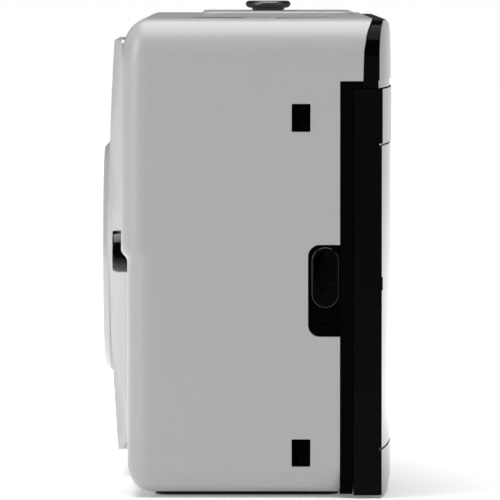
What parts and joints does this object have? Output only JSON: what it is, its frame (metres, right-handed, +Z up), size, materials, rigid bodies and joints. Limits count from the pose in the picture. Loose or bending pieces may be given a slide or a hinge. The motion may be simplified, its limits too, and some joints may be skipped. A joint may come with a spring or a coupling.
{
  "type": "compact 35 mm film camera",
  "caption": "Pocket film camera with a built-in flash, hinged film door, side latch, thumbwheel advance, fold-out rewind crank and shutter button.",
  "frame": {"origin": "centre of the bounding box in plan, on the plane of the base", "axes": "+X across the case to the end with the door latch (the viewer's left), -Y out of the lens, +Z up"},
  "size_m": [0.114, 0.0384, 0.0632],
  "materials": {
    "shell_plastic": "satin warm-grey moulded plastic, fine grain",
    "trim_grey": "satin grey moulded plastic",
    "ring_silver": "silver-grey plastic with turned rings",
    "chassis_black": "black moulded plastic, semi-matt",
    "cover_black": "gloss black plastic",
    "base_black": "black plastic, fine texture",
    "control_black": "polished black plastic",
    "button_gunmetal": "dark plated metal, turned",
    "steel": "bright steel",
    "spring_steel": "spring steel",
    "brass": "turned brass",
    "contact_bronze": "phosphor bronze strip",
    "nickel": "nickel-plated steel",
    "gear_acetal": "natural acetal",
    "foam": "black light-seal foam",
    "crank_grey": "grey plastic",
    "lens_glass": "coated optical element",
    "clear_window": "clear window",
    "tube_glass": "flash tube glass",
    "reflector_foil": "polished aluminium foil",
    "circuit_board": "phenolic board",
    "capacitor_sleeve": "shrink sleeve",
    "coil_tape": "amber tape over a copper winding",
    "lamp_amber": "amber lens",
    "battery_jacket": "plain printed jacket",
    "dial_white": "white plastic with index marks",
    "shutter_black": "blackened steel"
  },
  "bodies": {
    "camera_body": {"front_shell": "shell_plastic", "lens_panel": "trim_grey", "lens_ring": "ring_silver", "lens_bezel": "control_black", "lens_barrel": "chassis_black", "front_lens": "lens_glass", "rear_lens": "lens_glass", "aperture_stop": "shutter_black", "shutter_plate": "shutter_black", "sync_contacts": "contact_bronze", "viewfinder_window": "clear_window", "viewfinder_tube": "chassis_black", "eyepiece_lens": "clear_window", "flash_window": "clear_window", "flash_reflector": "reflector_foil", "flash_tube": "tube_glass", "flash_board": "circuit_board", "flash_capacitor": "capacitor_sleeve", "flash_transformer": "coil_tape", "ready_lamp": "lamp_amber", "battery": "battery_jacket", "battery_contact": "nickel", "battery_door_pin": "steel", "rear_body": "chassis_black", "light_box": "chassis_black", "rear_top_cover": "cover_black", "bottom_plate": "base_black", "tripod_socket": "brass", "case_screws": "nickel", "strap_bar": "steel", "light_seals": "foam", "hinge_pin": "steel", "latch_spring": "spring_steel", "shutter_spring": "spring_steel", "click_pawl": "spring_steel", "counter_window": "clear_window"},
    "back_door": {"film_door": "cover_black", "pressure_spring": "spring_steel", "cassette_spring": "spring_steel", "door_pads": "foam"},
    "film_press": {"pressure_plate": "shutter_black"},
    "door_latch": {"latch_knob": "control_black", "latch_bar": "steel"},
    "shutter_release": {"shutter_button": "button_gunmetal", "shutter_plunger": "control_black", "release_bar": "steel"},
    "blade": {"shutter_blade": "shutter_black"},
    "advance": {"advance_wheel": "control_black", "wheel_gear": "gear_acetal"},
    "spool": {"takeup_spool": "chassis_black", "spool_gear": "gear_acetal"},
    "sprocket": {"sprocket_roller": "chassis_black", "counter_cam": "gear_acetal"},
    "dial": {"counter_dial": "dial_white"},
    "rewind": {"rewind_hub": "control_black"},
    "crank": {"rewind_crank": "crank_grey"},
    "rewind_release_button": {"rewind_release": "crank_grey"},
    "battery_cover": {"battery_door": "base_black", "battery_spring": "nickel"},
    "flash_switch": {"flash_button": "control_black"}
  },
  "joints": [
    {"name": "door_hinge", "type": "hinge", "parent": "camera_body", "child": "back_door", "pos_m": [-0.0546, 0.0164, 0.026], "axis": [0, 0, 1], "range_deg": [0, 120]},
    {"name": "pressure_plate_float", "type": "slide", "parent": "back_door", "child": "film_press", "axis": [0, 1, 0], "range_m": [0, 0.0005], "stiffness_N_per_m": 300, "springref_m": -0.001, "deforming": ["pressure_spring"]},
    {"name": "latch_slide", "type": "slide", "parent": "camera_body", "child": "door_latch", "axis": [0, 0, -1], "range_m": [0, 0.0032], "stiffness_N_per_m": 200, "springref_m": -0.001, "deforming": ["latch_spring"]},
    {"name": "shutter_press", "type": "slide", "parent": "camera_body", "child": "shutter_release", "axis": [0, 0, -1], "range_m": [0, 0.00085], "stiffness_N_per_m": 800, "springref_m": -0.001, "deforming": ["shutter_spring"]},
    {"name": "shutter_blade_swing", "type": "hinge", "parent": "camera_body", "child": "blade", "pos_m": [-0.0042, -0.0114, 0.0415], "axis": [0, 1, 0], "range_deg": [0, 33]},
    {"name": "advance_turn", "type": "hinge", "parent": "camera_body", "child": "advance", "pos_m": [-0.043, 0.0101, 0.0573], "axis": [0, 0, 1], "continuous": true},
    {"name": "spool_turn", "type": "hinge", "parent": "camera_body", "child": "spool", "pos_m": [-0.043, 0.0021, 0.028], "axis": [0, 0, 1], "continuous": true},
    {"name": "sprocket_turn", "type": "hinge", "parent": "camera_body", "child": "sprocket", "pos_m": [-0.028, 0.00695, 0.028], "axis": [0, 0, 1], "continuous": true},
    {"name": "counter_turn", "type": "hinge", "parent": "camera_body", "child": "dial", "pos_m": [-0.021, 0.0029, 0.058], "axis": [0, 0, 1], "continuous": true},
    {"name": "rewind_turn", "type": "hinge", "parent": "camera_body", "child": "rewind", "pos_m": [0.04, 0.0021, 0.059], "axis": [0, 0, 1], "continuous": true},
    {"name": "crank_fold", "type": "hinge", "parent": "rewind", "child": "crank", "pos_m": [0.0336, 0.0021, 0.06075], "axis": [0, -1, 0], "range_deg": [0, 150]},
    {"name": "rewind_release_press", "type": "slide", "parent": "camera_body", "child": "rewind_release_button", "axis": [0, 0, 1], "range_m": [0, 0.001]},
    {"name": "battery_door_hinge", "type": "hinge", "parent": "camera_body", "child": "battery_cover", "pos_m": [0.0222, -0.002, 0.0012], "axis": [1, 0, 0], "range_deg": [0, 85]},
    {"name": "flash_switch_press", "type": "slide", "parent": "camera_body", "child": "flash_switch", "axis": [0, 1, 0], "range_m": [0, 0.0008], "stiffness_N_per_m": 500, "springref_m": -0.001}
  ],
  "couplings": [
    {"joint": "shutter_blade_swing", "follows": "shutter_press", "rad_per_m": 657},
    {"joint": "spool_turn", "follows": "advance_turn", "ratio": -0.77778},
    {"joint": "sprocket_turn", "follows": "advance_turn", "ratio": 0.94}
  ]
}
